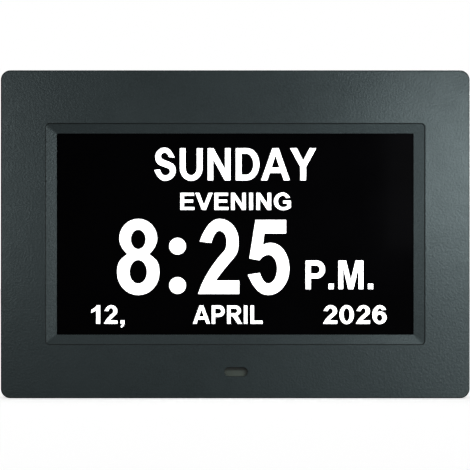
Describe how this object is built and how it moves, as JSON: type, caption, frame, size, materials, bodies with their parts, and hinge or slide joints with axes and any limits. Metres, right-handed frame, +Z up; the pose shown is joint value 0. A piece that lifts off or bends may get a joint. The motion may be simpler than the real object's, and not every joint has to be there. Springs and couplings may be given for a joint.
{
  "type": "day clock",
  "caption": "Wide tabletop day clock with a sunk landscape screen, satin case, rear keys, fold-out leg and wall keyholes.",
  "frame": {"origin": "middle of the bottom face of the case, halfway through its depth", "axes": "+X to the right as the reader sees it, +Y from the screen to the back, +Z up"},
  "size_m": [0.2324, 0.024, 0.1626],
  "materials": {
    "case_plastic": "satin, fine moulded texture",
    "key_plastic": "satin",
    "plunger_plastic": "satin",
    "soft_rubber": "matte",
    "screen_front": "gloss black with a lit display",
    "cell_glass": "polished",
    "smoked_lens": "gloss, smoked",
    "foam": "matte foam",
    "optical_film": "satin white",
    "clear_acrylic": "clear",
    "white_plastic": "satin",
    "pressed_steel": "zinc plated",
    "screw_steel": "black zinc",
    "circuit_board": "solder mask",
    "lamp_board": "white solder mask",
    "lamp_body": "phosphor yellow",
    "chip_black": "moulded",
    "ferrite": "matte ferrite",
    "jack_plastic": "satin",
    "contact_metal": "nickel plated",
    "can_metal": "satin",
    "flex_amber": "polyimide",
    "switch_steel": "stamped",
    "cell_steel": "polished",
    "basket_steel": "black",
    "cone_paper": "matte",
    "lead_sheath": "matte"
  },
  "bodies": {
    "case": {"front_bezel": "case_plastic", "back_cover": "case_plastic", "front_polariser": "screen_front", "lcd_cell": "cell_glass", "ir_window": "smoked_lens", "display_gasket": "foam", "speaker_gasket": "foam", "diffuser_film": "optical_film", "reflector_film": "optical_film", "light_guide": "clear_acrylic", "panel_frame": "white_plastic", "lead_connectors": "white_plastic", "flex_connector": "white_plastic", "rear_tray": "pressed_steel", "display_brackets": "pressed_steel", "case_screws": "screw_steel", "bracket_screws": "screw_steel", "receiver_screws": "screw_steel", "board_screws": "screw_steel", "speaker_screws": "screw_steel", "speaker_washers": "screw_steel", "hinge_pin": "screw_steel", "hinge_washers": "screw_steel", "main_board": "circuit_board", "power_board": "circuit_board", "receiver_board": "circuit_board", "led_bar": "lamp_board", "led_chips": "lamp_body", "processor": "chip_black", "memory_chips": "chip_black", "ir_receiver": "chip_black", "inductors": "ferrite", "speaker_magnet": "ferrite", "dc_jack": "jack_plastic", "dc_jack_pin": "contact_metal", "capacitors": "can_metal", "crystal": "can_metal", "display_flex": "flex_amber", "key_switches": "switch_steel", "coin_cell_holder": "jack_plastic", "coin_cell": "cell_steel", "speaker_basket": "basket_steel", "speaker_cone": "cone_paper", "speaker_lead": "lead_sheath", "receiver_lead": "lead_sheath", "power_lead": "lead_sheath"},
    "stand": {"kickstand": "case_plastic", "kickstand_foot": "soft_rubber"},
    "button_1": {"key_1": "key_plastic", "key_plunger_1": "plunger_plastic"},
    "button_2": {"key_2": "key_plastic", "key_plunger_2": "plunger_plastic"},
    "button_3": {"key_3": "key_plastic", "key_plunger_3": "plunger_plastic"},
    "button_4": {"key_4": "key_plastic", "key_plunger_4": "plunger_plastic"},
    "button_5": {"key_5": "key_plastic", "key_plunger_5": "plunger_plastic"},
    "button_6": {"key_6": "key_plastic", "key_plunger_6": "plunger_plastic"}
  },
  "joints": [
    {"name": "stand_hinge", "type": "hinge", "parent": "case", "child": "stand", "pos_m": [0, 0.0093, 0.104], "axis": [1, 0, 0], "range_deg": [0, 35]},
    {"name": "button_1_press", "type": "slide", "parent": "case", "child": "button_1", "axis": [0, -1, 0], "range_m": [0, 0.0004], "stiffness_N_per_m": 1500, "springref_m": -0.0003},
    {"name": "button_2_press", "type": "slide", "parent": "case", "child": "button_2", "axis": [0, -1, 0], "range_m": [0, 0.0004], "stiffness_N_per_m": 1500, "springref_m": -0.0003},
    {"name": "button_3_press", "type": "slide", "parent": "case", "child": "button_3", "axis": [0, -1, 0], "range_m": [0, 0.0004], "stiffness_N_per_m": 1500, "springref_m": -0.0003},
    {"name": "button_4_press", "type": "slide", "parent": "case", "child": "button_4", "axis": [0, -1, 0], "range_m": [0, 0.0004], "stiffness_N_per_m": 1500, "springref_m": -0.0003},
    {"name": "button_5_press", "type": "slide", "parent": "case", "child": "button_5", "axis": [0, -1, 0], "range_m": [0, 0.0004], "stiffness_N_per_m": 1500, "springref_m": -0.0003},
    {"name": "button_6_press", "type": "slide", "parent": "case", "child": "button_6", "axis": [0, -1, 0], "range_m": [0, 0.0004], "stiffness_N_per_m": 1500, "springref_m": -0.0003}
  ]
}
